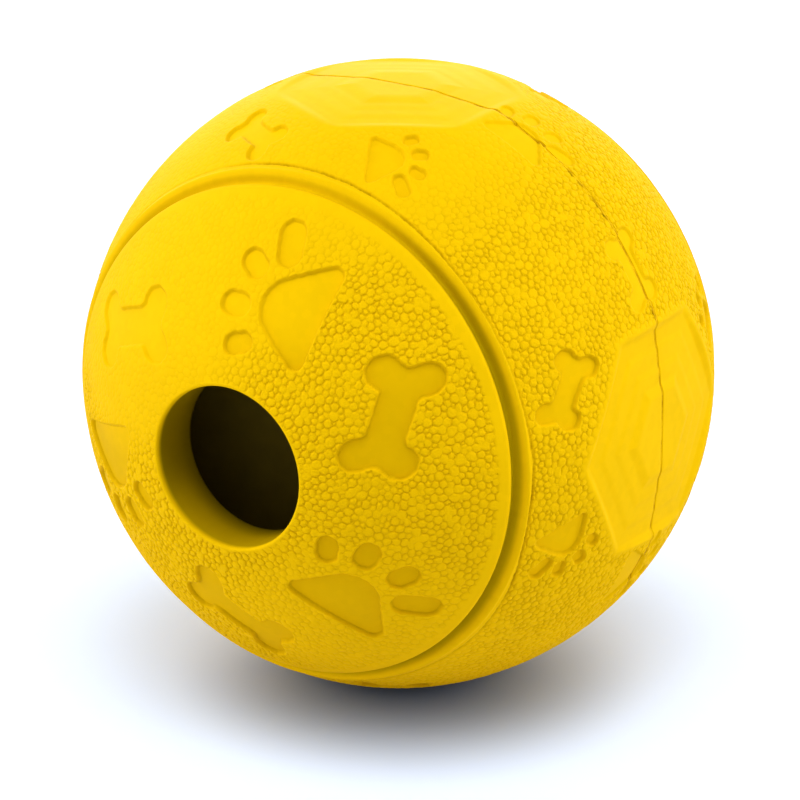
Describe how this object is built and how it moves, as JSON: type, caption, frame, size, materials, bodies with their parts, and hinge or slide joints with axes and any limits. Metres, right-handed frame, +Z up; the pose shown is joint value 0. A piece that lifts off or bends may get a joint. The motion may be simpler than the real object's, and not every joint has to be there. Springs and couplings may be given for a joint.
{
  "type": "treat dispensing ball",
  "caption": "Hollow rubber ball for pets with a round mouth, an inner labyrinth of two windowed discs, hexagonal stepped flats, a ring groove and sunk paw and bone reliefs.",
  "frame": {"origin": "middle of the bottom flat that the ball stands on, straight below the ball's centre", "axes": "+Z up, -Y out of the mouth along the ball's own axis, +X to the right seen from the mouth side"},
  "size_m": [0.0672, 0.0687, 0.0671],
  "materials": {
    "ball_rubber": "moulded, matt",
    "bond": "cured rubber cement",
    "disc_rubber": "moulded, matt, dark"
  },
  "bodies": {
    "root": {"front_shell": "ball_rubber", "rear_shell": "ball_rubber", "seam_bond": "bond", "front_baffle": "disc_rubber", "rear_baffle": "disc_rubber"}
  },
  "joints": []
}
